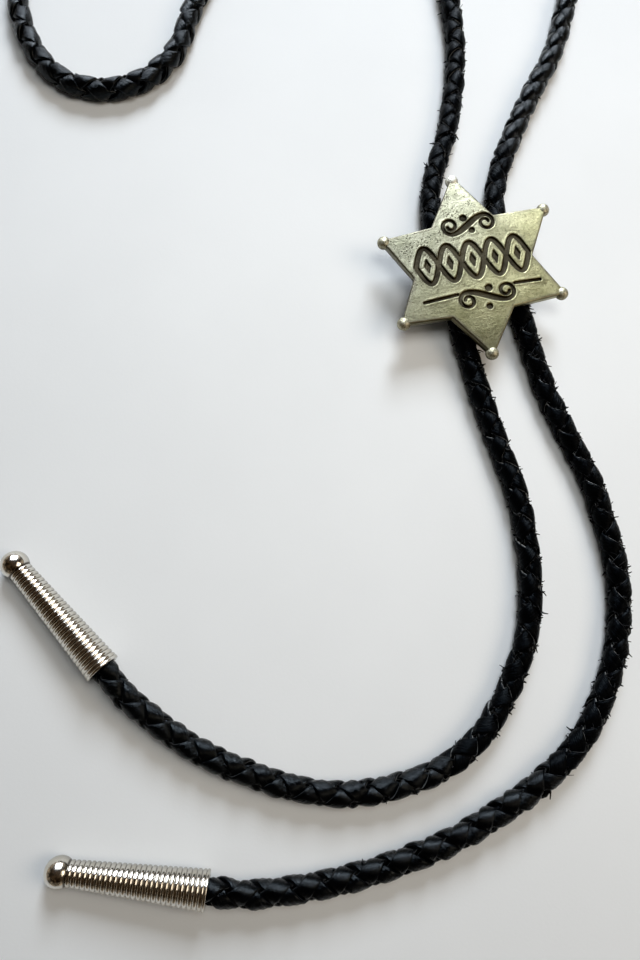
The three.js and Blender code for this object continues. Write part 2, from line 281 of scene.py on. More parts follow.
def make_cord():
    """The braid: two laces that turn one way and two the other, each a tube of rings.

    Returns the piece, the laces' edges for the fibres, and which faces are matt.
    """
    rng = np.random.default_rng(11)
    s, line = CORD_S, CORD_LINE
    n = len(s)
    tangent = unit(np.gradient(line, axis=0))
    side = unit(np.cross([0, 0, 1], tangent))
    up = np.cross(tangent, side)
    worn = wear_along(s)
    full = fullness_along(s)
    round_lace = np.clip((full - 1) / RIGHT_FULLNESS, 0, 1)
    turn = 2 * math.pi * s / BRAID_LAY
    drift = math.radians(45) + wander(n, 130, 0.35, rng)
    u, v = section_shape()
    sides = len(u)
    points, faces, lace, edge, wear, matt, edges = [], [], [], [], [], [], []
    for strand in range(4):
        way = 1 if strand < 2 else -1
        base = math.pi * (strand % 2)
        weave = np.tanh(LACE_DIVE * way * np.cos(2 * turn)) / math.tanh(LACE_DIVE)
        angle = way * turn + base + drift + wander(n, 9, 0.07, rng) * worn
        radius = (LACE_MIDDLE * full + LACE_WEAVE * (1 - 0.2 * worn + 0.25 * round_lace) * weave
                  + wander(n, 12, 0.05, rng) * (0.4 + worn) + wander(n, 4, 0.04, rng) * worn)
        out = np.cos(angle)[:, None] * side + np.sin(angle)[:, None] * up
        centre = line + radius[:, None] * out
        heading = unit(np.gradient(centre, axis=0))
        normal = unit(out - (out * heading).sum(1, keepdims=True) * heading)
        across = np.cross(heading, normal)
        width = LACE_WIDTH / 2 * full * (1 + wander(n, 15, 0.06, rng)
                                         + wander(n, 3, 0.05, rng) * worn
                                         + wander(n, 1.6, 0.05, rng) * worn)
        lean = wander(n, 14, 0.16, rng) + wander(n, 5, 0.08, rng) * worn
        du = width[:, None] * u[None, :]
        cup = LACE_CUP + ROUND_CUP * round_lace
        dv = LACE_THICKNESS / 2 * v[None, :] - cup[:, None] * du ** 2 + lean[:, None] * du
        ring = (centre[:, None, :] + du[..., None] * across[:, None, :]
                + dv[..., None] * normal[:, None, :])
        height, soft = ring[..., 2], FLOOR_CLEAR + FLOOR_FADE
        pressed = FLOOR_CLEAR + FLOOR_FADE * np.exp((height - soft) / FLOOR_FADE)
        ring[..., 2] = np.where(height < soft, pressed, height)
        start = len(points) * n * sides
        points.append(ring.reshape(-1, 3))
        faces.append(grid_faces(n, sides, True, start)[:, ::-1])
        caps = np.array([np.arange(sides), ((n - 1) * sides + np.arange(sides))[::-1]])
        faces.append(caps + start)
        along = np.repeat(s[:, None], sides, 1)
        own = np.full_like(du, LACE_APART * strand)
        lace.append(np.stack([along, du, own], -1).reshape(-1, 3))
        cut = np.isin(np.arange(sides), CUT_EDGES) * CUT_PALE_AND_HIGHLIGHT[way]
        edge.append(np.tile(cut, (n, 1)).ravel())
        wear.append(np.repeat(worn, sides))
        matt.append(np.repeat(matt_rows(weave, worn)[:-1], sides))
        matt.append(np.zeros(len(caps), bool))
        for corner, outward in zip(CUT_EDGES, (across, -across)):
            edges.append((ring[:, corner], unit(ring[:, corner] - line), weave, outward))
    piece = make_piece("cord_braid", np.vstack(points) * MM, faces,
                       {"lace": np.vstack(lace), "edge": np.concatenate(edge),
                        "worn": np.concatenate(wear)})
    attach(piece, "root")
    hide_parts("cord")
    return piece, edges, np.concatenate(matt)


cord_braid, lace_edges, matt_faces = make_cord()


FIBRE_TRIES = 15000
FIBRE_SIDES = 3
FIBRE_STEPS = 5
FIBRE_LOWEST = 0.12  # mm above the floor
FIBRE_FREE_ENDS = 6.5  # mm of cord at each end, in the tips' sockets, without fibres
FIBRE_BURIED = -0.35  # no fibre where a lace's weave is below this


def make_fibres():
    """Short frayed fibres on the laces' cut edges, single and in small tufts."""
    rng = np.random.default_rng(23)
    n = len(CORD_S)
    worn = wear_along(CORD_S)
    free = (CORD_S > FIBRE_FREE_ENDS) & (CORD_S < CORD_S[-1] - FIBRE_FREE_ENDS)
    points, faces = [], []
    count = 0
    ring = np.arange(FIBRE_SIDES) * 2 * math.pi / FIBRE_SIDES
    t = np.linspace(0, 1, FIBRE_STEPS)[:, None]
    for _ in range(FIBRE_TRIES):
        at, out, weave, across = lace_edges[rng.integers(len(lace_edges))]
        i = rng.integers(n)
        pick, hairs = rng.random(), 1 + int(rng.random() ** 3 * 3)
        if weave[i] < FIBRE_BURIED or not free[i] or pick > worn[i] ** 2:
            continue
        for _ in range(hairs):
            size = rng.uniform(0.2, 0.5) + 0.8 * rng.random() ** 4
            way = unit(out[i] + 0.9 * across[i] + rng.normal(0, 0.55, 3))
            bend = unit(np.cross(way, rng.normal(0, 1, 3))) * rng.uniform(0.6, 2.2)
            start = at[i] + rng.normal(0, 0.14, 3) - 0.12 * way
            path = start + size * (way * t + bend * t ** 2 * 0.6)
            path[:, 2] = np.maximum(path[:, 2], FIBRE_LOWEST)
            heading = unit(np.gradient(path, axis=0))
            first = unit(np.cross(heading, [0.3, 0.2, 0.93]))
            second = np.cross(heading, first)
            thick = rng.uniform(0.12, 0.32) * (1 - 0.6 * t)
            around = (np.cos(ring)[None, :, None] * first[:, None]
                      + np.sin(ring)[None, :, None] * second[:, None])
            points.append((path[:, None] + thick[:, None] * around).reshape(-1, 3))
            faces.append(grid_faces(FIBRE_STEPS, FIBRE_SIDES, True, count))
            faces.append(np.array([[0, 2, 1]]) + count)
            faces.append(np.array([[0, 1, 2]]) + count + (FIBRE_STEPS - 1) * FIBRE_SIDES)
            count += FIBRE_STEPS * FIBRE_SIDES
    piece = make_piece("cord_fibres", np.vstack(points) * MM, faces)
    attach(piece, "root")
    return piece


cord_fibres = make_fibres()


# ---------------------------------------------------------------- star

STAR_REACH = 21.5  # mm from the star's middle to the middle of an arm's ball
STAR_SHIFT = -2.2  # mm along X from the keeper's middle to the star's
STAR_BACK = 6.3
STAR_TOP = 8.1
STAR_OVERSHOOT = 0.9  # how far past the balls the arms' sides would meet
STAR_NOTCH_SPREAD = 1.06  # how much wider the notches are than in a plain star
STAR_EDGE = 0.38  # radius of the face's rounded rim
STAR_CELLS = 96  # cells along each side of the six grids that make up the face
# the wall and the rounded back edge: how far in and how far below the top each step lies
STAR_WALL = [(0.0, 0.45), (0.0, 0.8), (0.0, 1.3), (0.12, 1.62), (0.38, 1.8)]
STAR_BALL = 1.5
STAR_BALL_HEIGHT = 1.25
POST_RADIUS = 2.5
POST_FOOT = 1.2
POST_AROUND = 48
ENGRAVING = 0.35  # its depth, and CUT_LIP the height of the raised lip beside it
CUT_LIP = 0.025
# each arm's angle in degrees and its reach as a share of STAR_REACH, clockwise from the top
STAR_ARMS = [(89, 0.995), (29, 1.065), (-28, 0.98), (-93, 0.98), (-149.7, 1.02), (-204.5, 0.965)]

# The engraving, in shares of the star's reach. A scroll is its two eyes and the way it turns,
# a line its two ends, a dot its middle and radius, and the band of lozenges runs along X.
SCROLLS = [((-0.147, 0.457), (0.246, 0.452), 1), ((-0.164, -0.394), (0.263, -0.34), -1)]
LINES = [((-0.624, -0.345), (-0.265, -0.312)), ((0.375, -0.277), (0.656, -0.281))]
LINE_HALF = 0.018
DOTS = [(0.015, 0.53, 0.04), (0.074, 0.383, 0.034), (0.084, -0.286, 0.04), (0.043, -0.488, 0.034)]
BAND_LEFT, BAND_RIGHT = -0.62, 0.62
BAND_MIDDLE = 0.05
BAND_HEIGHT = 0.2
BAND_HALF = 0.028
LOZENGES = 5
LOZENGE_STEPS = 22
EYE_HEIGHT = 0.075
EYE_HALF = (0.006, 0.034, 0.006)


def arm_point(arm, extra=0.0):
    """The middle of an arm's ball, or a point so many mm further out."""
    angle = math.radians(arm[0])
    return (STAR_REACH * arm[1] + extra) * np.array([math.cos(angle), math.sin(angle)])


def crossing(a, b, c, d):
    """Where the line through a and b meets the line through c and d."""
    ab, cd = b - a, d - c
    t = ((c - a)[0] * cd[1] - (c - a)[1] * cd[0]) / (ab[0] * cd[1] - ab[1] * cd[0])
    return a + ab * t


def star_outline():
    """The six arm points and the six notches, clockwise: notch i lies after point i."""
    points = [arm_point(arm, STAR_OVERSHOOT) for arm in STAR_ARMS]
    at = lambda i: points[i % 6]
    notches = [STAR_NOTCH_SPREAD * crossing(at(i), at(i + 2), at(i + 1), at(i - 1))
               for i in range(6)]
    return np.array(points), np.array(notches)


def scroll_stroke(left, right, side):
    """Points and half widths of one S-shaped scroll, in shares of the star's reach."""
    radius, inner, turns, steps = 0.093, 0.36, 1.2, 44
    k = np.arange(steps + 1) / steps
    r = radius * (inner + (1 - inner) * k)
    a = side * (-math.pi / 2 - (1 - k) * turns * 2 * math.pi)
    first = np.stack([r * np.cos(a), r * np.sin(a)], 1) + left
    b = side * (math.pi / 2 - (1 - k) * turns * 2 * math.pi)
    last = (np.stack([r * np.cos(b), r * np.sin(b)], 1) + right)[::-1]
    t = np.linspace(0, 1, 20)[1:-1]
    ease = t * t * (3 - 2 * t)
    start, end = first[-1], last[0]
    middle = np.stack([start[0] + (end[0] - start[0]) * t,
                       start[1] + (end[1] - start[1]) * ease], 1)
    line = np.vstack([first, middle, last])
    length = np.concatenate([[0], np.cumsum(np.linalg.norm(np.diff(line, axis=0), axis=1))])
    share = length / length[-1]
    half = (0.036 + 0.034 * np.sin(math.pi * share) ** 6) / 2
    return line, half


def engraving_strokes():
    """Every stroke of the engraving as (points, half widths), in shares of the star's reach."""
    strokes = [scroll_stroke(*scroll) for scroll in SCROLLS]
    strokes += [(np.array(ends), np.full(2, LINE_HALF)) for ends in LINES]
    strokes += [(np.array([(x, y), (x + 0.001, y)]), np.full(2, r)) for x, y, r in DOTS]
    width = BAND_RIGHT - BAND_LEFT
    x = np.linspace(BAND_LEFT, BAND_RIGHT, LOZENGES * LOZENGE_STEPS + 1)
    wave = BAND_HEIGHT * np.sin(math.pi * LOZENGES * (x - BAND_LEFT) / width)
    for side in (1, -1):
        line = np.stack([x, BAND_MIDDLE + side * wave], 1)
        strokes.append((line, np.full(len(x), BAND_HALF)))
    for eye in range(LOZENGES):
        cx = BAND_LEFT + (eye + 0.5) * width / LOZENGES
        line = np.array([(cx, BAND_MIDDLE + y) for y in (-EYE_HEIGHT, 0, EYE_HEIGHT)])
        strokes.append((line, np.array(EYE_HALF)))
    return strokes


def stroke_distance(xy, strokes):
    """Signed distance from each point to the nearest stroke's edge: below 0 inside it."""
    best = np.full(len(xy), 9.0)
    for line, half in strokes:
        low, high = line.min(0) - 0.2, line.max(0) + 0.2
        near = np.where(((xy > low) & (xy < high)).all(1))[0]
        p = xy[near]
        d = best[near]
        for a, b, ha, hb in zip(line, line[1:], half, half[1:]):
            ab = b - a
            t = np.clip(((p - a) @ ab) / (ab @ ab), 0, 1)
            reach = np.linalg.norm(p - a - t[:, None] * ab, axis=1) - (ha + (hb - ha) * t)
            d = np.minimum(d, reach)
        best[near] = d
    return best


def outline_distance(xy, points, notches):
    """Distance in mm from each point inside the star to its outline."""
    best = np.full(len(xy), 99.0)
    corners = [c for pair in zip(points, notches) for c in pair]
    for a, b in zip(corners, corners[1:] + corners[:1]):
        ab = b - a
        t = np.clip(((xy - a) @ ab) / (ab @ ab), 0, 1)
        best = np.minimum(best, np.linalg.norm(xy - a - t[:, None] * ab, axis=1))
    return best


def ball_mesh(centre, radius, height, around=40, up=22):
    """A ball's points and face arrays: radius is to its sides, height is up and down."""
    a = np.arange(around) * 2 * math.pi / around
    e = np.linspace(-math.pi / 2, math.pi / 2, up + 1)[1:-1]
    level = radius * np.cos(e)[:, None]
    rings = np.stack([level * np.cos(a), level * np.sin(a),
                      height * np.sin(e)[:, None] * np.ones(around)], -1).reshape(-1, 3)
    points = np.vstack([rings, [(0, 0, -height), (0, 0, height)]]) + centre
    rows = len(e)
    ends = len(rings)
    k = np.arange(around)
    low = np.stack([np.full(around, ends), (k + 1) % around, k], 1)
    top = (rows - 1) * around
    high = np.stack([np.full(around, ends + 1), top + k, top + (k + 1) % around], 1)
    return points, [grid_faces(rows, around), low, high]


def make_star():
    """The star: a face of six grids, one for each arm, with its wall, back, balls and post.
    Its marks tell the pewter where the engraving, the rim and the balls are, and where painted
    shade darkens each ball's foot."""
    points, notches = star_outline()
    t = np.linspace(0, 1, STAR_CELLS + 1)
    t = 0.8 * t + 0.2 * (1 - (1 - t) ** 3)  # finer towards the rim
    uu, vv = (w[..., None] for w in np.meshgrid(t, t, indexing="ij"))
    verts, faces, rims = [], [], []
    for i in range(6):
        before, after, point = notches[i - 1], notches[i], points[i]
        xy = uu * (1 - vv) * after + vv * (1 - uu) * before + uu * vv * point
        start = i * len(t) ** 2
        verts.append(xy.reshape(-1, 2))
        faces.append(grid_faces(len(t), len(t), False, start))
        grid = np.arange(len(t) ** 2).reshape(len(t), len(t)) + start
        rims.append(np.concatenate([grid[:, -1], grid[-1, ::-1][1:]]))
    xy = np.vstack(verts)
    d = outline_distance(xy, points, notches)
    inset = np.clip(STAR_EDGE - d, 0, STAR_EDGE)
    z = STAR_TOP - (STAR_EDGE - np.sqrt(STAR_EDGE ** 2 - inset ** 2))
    cut = stroke_distance(xy / STAR_REACH, engraving_strokes()) * STAR_REACH
    sunk = smoothstep(0.07, -0.16, cut)
    z -= ENGRAVING * sunk
    z += CUT_LIP * smoothstep(0.55, 0.1, np.abs(cut - 0.1)) * (1 - sunk)
    top = np.column_stack([xy, z])
    recess = np.clip(sunk + 0.35 * np.exp(-np.maximum(cut, 0) / 0.28), 0, 1)
    near_rim = smoothstep(1.1, 0.15, d)
    halo = np.exp(-np.maximum(cut, 0) / 0.5)
    rim = np.concatenate(rims)
    # The wall goes down from the rim, and the back closes it to one middle point.
    ring = top[rim]
    length = np.linalg.norm(ring[:, :2], axis=1, keepdims=True)
    parts, part_faces = [top], list(faces)
    count = len(top)
    m = len(ring)
    after = (np.arange(m) + 1) % m
    last = rim
    for inward, depth in STAR_WALL:
        level = ring.copy()
        level[:, :2] *= 1 - inward / length
        level[:, 2] = STAR_TOP - depth
        index = np.arange(m) + count
        part_faces.append(np.stack([last, index, index[after], last[after]], 1))
        parts.append(level)
        count += m
        last = index
    parts.append(np.array([[0, 0, STAR_BACK]]))
    part_faces.append(np.stack([last, np.full(m, count), last[after]], 1))
    part_faces = [f[:, ::-1] for f in part_faces]
    count += 1
    middle = (STAR_TOP + STAR_BACK) / 2
    marks = [recess, np.zeros(count - len(top))]
    ball_start = count
    for arm in STAR_ARMS:
        place = arm_point(arm)
        ball, ball_faces = ball_mesh((*place, middle), STAR_BALL, STAR_BALL_HEIGHT)
        away = place / np.linalg.norm(place)
        # Painted shade on the ball's foot, where it meets its arm, carried by the recess mark.
        foot = smoothstep(-0.2, -1.3, (ball[:, :2] - place) @ away)
        marks.append(0.4 * foot)
        parts.append(ball)
        part_faces += [f + count for f in ball_faces]
        count += len(ball)
    ball_end = count
    a = np.arange(POST_AROUND) * 2 * math.pi / POST_AROUND
    heights = [middle, POST_FOOT + 0.25, POST_FOOT + 0.07, POST_FOOT, POST_FOOT]
    radii = [POST_RADIUS, POST_RADIUS, POST_RADIUS - 0.07, POST_RADIUS - 0.25, 0.4]
    post = np.vstack([np.stack([r * np.cos(a) - STAR_SHIFT, r * np.sin(a), np.full(len(a), h)], 1)
                      for h, r in zip(heights, radii)])
    parts.append(post)
    part_faces.append(grid_faces(len(heights), POST_AROUND, True, count)[:, ::-1])
    part_faces.append((np.arange(POST_AROUND)[::-1] + count + len(post) - POST_AROUND)[None, :])
    part_faces.append((np.arange(POST_AROUND) + count)[None, :])
    marks.append(np.zeros(len(post)))
    everything = np.vstack(parts) + (STAR_SHIFT, 0, 0)
    shade = np.concatenate([halo, np.zeros(len(everything) - len(halo))])
    border = np.concatenate([near_rim, np.zeros(len(everything) - len(near_rim))])
    ball_mark = np.zeros(len(everything))
    ball_mark[ball_start:ball_end] = 1
    piece = make_piece("star_pewter", everything * MM, part_faces,
                       {"recess": np.concatenate(marks), "halo": shade, "border": border,
                        "ball": ball_mark})
    weld = piece.modifiers.new("weld", "WELD")  # joins the six grids
    weld.merge_threshold = 2e-6
    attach(piece, "root")
    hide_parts("star_badge")
    return piece


star_pewter = make_star()


# ---------------------------------------------------------------- tips

RIB_COUNT = 27
RIB_DEPTH = 0.32
RIB_STEPS = 9
BALL_STEPS = 30
TIP_AROUND = 72
SOCKET_ROOM = 0.3  # mm between the cord and the socket's wall
POLE = 0.02  # mm radius of the rings that close the surface at its two ends


def tip_profile(rng):
    """Radius, height in mm and painted shade, from the socket's end over the mouth to the ball's
    end.
    """
    neck_height = TIP_LENGTH - TIP_BALL - math.sqrt(TIP_BALL ** 2 - TIP_NECK ** 2)
    pitch = (neck_height - TIP_PLAIN) / RIB_COUNT
    socket = CORD_RADIUS + SOCKET_ROOM
    profile = [(POLE, TIP_SOCKET, 1), (socket, TIP_SOCKET, 1), (socket, TIP_SOCKET / 2, 1),
               (socket, 0.25, 0.6), (socket + 0.1, 0.05, 0.2), (socket + 0.3, 0, 0),
               (TIP_MOUTH - 0.2, 0, 0), (TIP_MOUTH - 0.05, 0.05, 0), (TIP_MOUTH, 0.18, 0),
               (TIP_MOUTH - 0.01, TIP_PLAIN, 0.4)]
    for rib in range(RIB_COUNT):
        uneven = rng.uniform(-0.03, 0.03)
        for x in np.linspace(0.06, 0.94, RIB_STEPS):
            h = TIP_PLAIN + (rib + x) * pitch
            nominal = TIP_MOUTH + (TIP_NECK - TIP_MOUTH) * h / neck_height
            hollow = abs(2 * x - 1) ** 3
            profile.append((nominal - (RIB_DEPTH + uneven) * hollow, h, hollow ** 1.5))
    first = math.asin(TIP_NECK / TIP_BALL)
    for angle in np.linspace(first, math.pi, BALL_STEPS)[:-1]:
        profile.append((TIP_BALL * math.sin(angle),
                        TIP_LENGTH - TIP_BALL - TIP_BALL * math.cos(angle),
                        0.8 * max(0.0, 1 - (angle - first) / 0.18)))
    profile.append((POLE, TIP_LENGTH, 0))
    return np.array(profile)


def make_tip(name, node, place, seed):
    """A tip that stands for its CAD node: the profile turned round the line it lies along."""
    rng = np.random.default_rng(seed)
    profile = tip_profile(rng)
    position, direction = place
    level = unit(np.cross(direction, [0, 0, 1]))
    high = np.cross(level, direction)
    a = np.arange(TIP_AROUND) * 2 * math.pi / TIP_AROUND
    ring = np.cos(a)[:, None] * level + np.sin(a)[:, None] * high
    points = (position + profile[:, 1][:, None, None] * direction
              + profile[:, 0][:, None, None] * ring[None])
    rows = len(profile)
    faces = [grid_faces(rows, TIP_AROUND)[:, ::-1],
             np.arange(TIP_AROUND)[None, :],
             (np.arange(TIP_AROUND)[::-1] + (rows - 1) * TIP_AROUND)[None, :]]
    groove_shade = np.repeat(profile[:, 2], TIP_AROUND)  # where the nickel is painted dark with shade: in the socket and its mouth, between the ribs and where the ball meets the neck
    piece = make_piece(name, points.reshape(-1, 3) * MM, faces, {"groove_shade": groove_shade})
    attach(piece, "root")
    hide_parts(node)
    return piece


tip_left = make_tip("tip_left_nickel", "tip_left", LEFT_TIP, 31)
tip_right = make_tip("tip_right_nickel", "tip_right", RIGHT_TIP, 47)


# ---------------------------------------------------------------- keeper

KEEPER_SHEET = 0.9      # mm, as in the CAD
KEEPER_HALF = 11.1      # outside, across the two channels
KEEPER_HEIGHT = 6.0
KEEPER_DEPTH = 14.0
KEEPER_BEND = 0.8       # radius of the sheet's middle in its two bends
KEEPER_EDGE = 0.22      # radius of its cut edges
CREASE = 0.15           # how near to a rounding the next row lies, so that flats stay flat
MIDDLE_FLAT = 4.0       # half the width of the back that needs no rows of its own


def sheet_section():
    """The sheet cut across: a long rounded rectangle, (along the cord, through the sheet), mm."""
    points = []
    reach, half = KEEPER_DEPTH / 2 - KEEPER_EDGE, KEEPER_SHEET / 2 - KEEPER_EDGE
    for start, along, through in ((0, reach, half), (90, -reach, half),
                                  (180, -reach, -half), (270, reach, -half)):
        turns = np.radians(start + np.linspace(0, 90, 5))
        corner = np.column_stack([along + KEEPER_EDGE * np.cos(turns),
                                  through + KEEPER_EDGE * np.sin(turns)])
        inward = np.array([-np.sign(along) * CREASE, 0.0])
        if start in (0, 180):
            points += [*corner, corner[-1] + inward]
        else:
            points += [corner[0] + inward, *corner]
    return np.array(points)


def keeper_path():
    """The sheet's middle from one lip, round the back, to the other lip, and its outward side."""
    middle = KEEPER_HALF - KEEPER_SHEET / 2
    low, bend = KEEPER_SHEET / 2, KEEPER_BEND
    lip = KEEPER_HEIGHT - KEEPER_EDGE * (1 - np.cos(np.linspace(0, math.pi / 2, 6)))
    wall = np.linspace(KEEPER_HEIGHT - KEEPER_EDGE - CREASE, low + bend, 5)
    heights = np.concatenate([lip, wall])
    turns = np.linspace(0, math.pi / 2, 9)[1:]
    corner = np.column_stack([-middle + bend * (1 - np.cos(turns)),
                              low + bend * (1 - np.sin(turns))])
    left = np.vstack([np.column_stack([np.full(len(heights), -middle), heights]), corner,
                      [(-middle + bend + CREASE, low), (-MIDDLE_FLAT, low)]])
    path = np.vstack([left, (left * [-1, 1])[::-1]])
    heading = unit(np.gradient(path, axis=0))
    heading[:len(heights)] = (0, -1)
    heading[-len(heights):] = (0, 1)
    return path, np.column_stack([heading[:, 1], -heading[:, 0]])


def make_keeper():
    """The keeper of bent steel sheet, with round bends and rounded cut edges."""
    section = sheet_section()
    path, outward = keeper_path()
    # The rows at the two lips shrink as the lip's edge rounds off.
    from_lip = np.minimum(KEEPER_HEIGHT - path[:, 1], KEEPER_EDGE)
    inset = KEEPER_EDGE - np.sqrt(np.maximum(KEEPER_EDGE ** 2 - (KEEPER_EDGE - from_lip) ** 2, 0))
    rows = []
    for (x, z), (out_x, out_z), inner in zip(path, outward, inset):
        along = section[:, 0] - np.sign(section[:, 0]) * inner
        through = section[:, 1] * (1 - inner / (KEEPER_SHEET / 2))
        rows.append(np.column_stack([x + out_x * through, along, z + out_z * through]))
    count = len(section)
    faces = [grid_faces(len(path), count)[:, ::-1],
             np.array([np.arange(count), ((len(path) - 1) * count + np.arange(count))[::-1]])]
    piece = make_piece("keeper_steel", np.vstack(rows) * MM, faces)
    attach(piece, "root")
    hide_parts("keeper")
    return piece


keeper_steel = make_keeper()


# ---------------------------------------------------------------- materials

class Paint:
    """A procedural material, built one node at a time. Methods return the socket to use next.
    A number that is the same all over a surface is a constant of the shader itself."""

    def __init__(self, name, **constants):
        self.material = bpy.data.materials.new(name)
        self.material.use_nodes = True
        self.tree = self.material.node_tree
        self.shader = self.tree.nodes["Principled BSDF"]
        for key, value in constants.items():
            self.shader.inputs[key.replace("_", " ")].default_value = value
        self.place = self.node("TexCoord").outputs["Object"]

    def node(self, kind, inputs=(), **settings):
        made = self.tree.nodes.new("ShaderNode" + kind)
        for key, value in settings.items():
            setattr(made, key, value)
        for key, value in dict(inputs).items():
            self.put(made, key, value)
        return made

    def put(self, node, key, value):
        """Link a socket to an input, or give the input a fixed value."""
        if isinstance(value, bpy.types.NodeSocket):
            self.tree.links.new(value, node.inputs[key])
        else:
            node.inputs[key].default_value = value

    def shade(self, key, value):
        """Set an input of the shader."""
        self.put(self.shader, key, value)

    def read(self, name, vector=False):
        """A mark that the mesh carries on its points."""
        found = self.node("Attribute", attribute_name=name)
        return found.outputs["Vector" if vector else "Fac"]

    def stretch(self, vector, scale, turn=0.0):
        return self.node("Mapping", {"Vector": vector, "Scale": scale,
                                     "Rotation": (0, 0, turn)}).outputs[0]

    def noise(self, vector, scale, detail=3.0, roughness=0.55):
        return self.node("TexNoise", {"Vector": vector, "Scale": scale, "Detail": detail,
                                      "Roughness": roughness}).outputs["Fac"]

    def cells(self, vector, scale):
        return self.node("TexVoronoi", {"Vector": vector, "Scale": scale}).outputs["Distance"]

    def span(self, value, low, high, to_low=0.0, to_high=1.0):
        """value from low to high becomes to_low to to_high, smoothly and never outside them."""
        return self.node("MapRange", {"Value": value, "From Min": low, "From Max": high,
                                      "To Min": to_low, "To Max": to_high},
                         interpolation_type="SMOOTHSTEP").outputs[0]

    def math(self, operation, a, b=0.0):
        return self.node("Math", {0: a, 1: b}, operation=operation).outputs[0]

    def mix(self, factor, a, b):
        colour = lambda c: c if isinstance(c, bpy.types.NodeSocket) else (*c, 1)
        made = self.node("Mix", {0: factor, 6: colour(a), 7: colour(b)}, data_type="RGBA")
        return made.outputs[2]

    def times(self, colour, gain):
        """A colour made lighter or darker."""
        gain = gain if isinstance(gain, bpy.types.NodeSocket) else (gain, gain, gain, 1)
        made = self.node("Mix", {0: 1.0, 6: colour, 7: gain}, data_type="RGBA",
                         blend_type="MULTIPLY")
        return made.outputs[2]

    def bump(self, height, distance, strength=1.0, under=None):
        inputs = {"Height": height, "Distance": distance, "Strength": strength}
        if under is not None:
            inputs["Normal"] = under
        return self.node("Bump", inputs).outputs[0]

    def axis(self, vector, name):
        return self.node("SeparateXYZ", {0: vector}).outputs[name]

    def on(self, *pieces):
        """Give the material to these pieces, in place of what they have."""
        for piece in pieces:
            piece.data.materials.clear()
            piece.data.materials.append(self.material)


LEATHER_DEEP = (0.0007, 0.0009, 0.0013)
LEATHER_PALE = (0.0022, 0.0027, 0.0037)
# the cut edges' colour: unfinished leather and a painted highlight
LEATHER_RAW_AND_HIGHLIGHT = (0.24, 0.245, 0.245)
LEATHER_SHINE = (0.86, 0.95, 1.0, 1.0)
FIBRE_DEEP = (0.003, 0.003, 0.0035)
FIBRE_PALE = (0.014, 0.014, 0.014)


def leather(name, ior, smooth, rough):
    """Black leather, unfinished and pale along its cut edges where it is worn; the pale colour is
    partly a painted highlight. smooth and rough are the roughness on and between its wrinkles, and
    lengths along and across a lace are in mm."""
    paint = Paint(name, Metallic=0.0, IOR=ior, Specular_Tint=LEATHER_SHINE)
    lace = paint.read("lace", vector=True)
    edge = paint.read("edge")
    worn = paint.read("worn")
    wrinkle = paint.noise(paint.stretch(lace, (0.35, 3.0, 1)), 1.0, 5.0, 0.7)
    grain = paint.noise(paint.place, 2600, 2.0)
    patch = paint.noise(paint.stretch(lace, (0.25, 0.6, 1)), 1.0, 2.0)
    base = paint.mix(paint.span(patch, 0.35, 0.7), LEATHER_DEEP, LEATHER_PALE)
    broken = paint.span(paint.noise(paint.stretch(lace, (0.4, 0.2, 1)), 1.0, 2.0), 0.38, 0.54)
    # The cut edges' pale colour: unfinished leather, and a painted highlight on the edges of the
    # laces that turn one way.
    raw_and_highlight = paint.math("MULTIPLY", paint.span(edge, 0.25, 0.8), broken)
    raw_and_highlight = paint.math("MULTIPLY", raw_and_highlight, paint.span(worn, 0.1, 0.9, 0.12, 1.0))
    paint.shade("Base Color", paint.mix(raw_and_highlight, base, LEATHER_RAW_AND_HIGHLIGHT))
    gloss = paint.span(wrinkle, 0.3, 0.7, smooth, rough)
    paint.shade("Roughness", paint.math("ADD", gloss, paint.math("MULTIPLY", raw_and_highlight, 0.3)))
    normal = paint.bump(wrinkle, 0.0002, 1.0)
    paint.shade("Normal", paint.bump(grain, 0.000015, 1.0, normal))
    return paint


def fibre():
    """Frayed leather: matt and nearly black."""
    paint = Paint("leather_fibre", Metallic=0.0, Roughness=0.8, IOR=1.35)
    shade = paint.noise(paint.place, 900, 2.0)
    paint.shade("Base Color", paint.mix(paint.span(shade, 0.4, 0.7), FIBRE_DEEP, FIBRE_PALE))
    return paint


# Each pair is the colour towards the star's lower right, where it is yellower, and towards its
# upper left, where it is greyer, lighter and more pitted. The change from one to the other is a
# painted reflection.
PEWTER_LIGHT = (0.255, 0.24, 0.133), (0.37, 0.36, 0.26)
PEWTER_DARK = (0.18, 0.17, 0.085), (0.285, 0.28, 0.19)
BALL_LIGHT = (0.47, 0.45, 0.33)
BALL_DARK = (0.2, 0.185, 0.125)
# the top ball's colour is a painted highlight
BALL_TOP_HIGHLIGHT = (0.7, 0.69, 0.6)
PEWTER_DULL = (0.12, 0.108, 0.08)
# patina in the engraving and the pits, and painted shade at the balls' feet
GRIME_AND_SHADE = (0.05, 0.043, 0.028), (0.022, 0.019, 0.013)


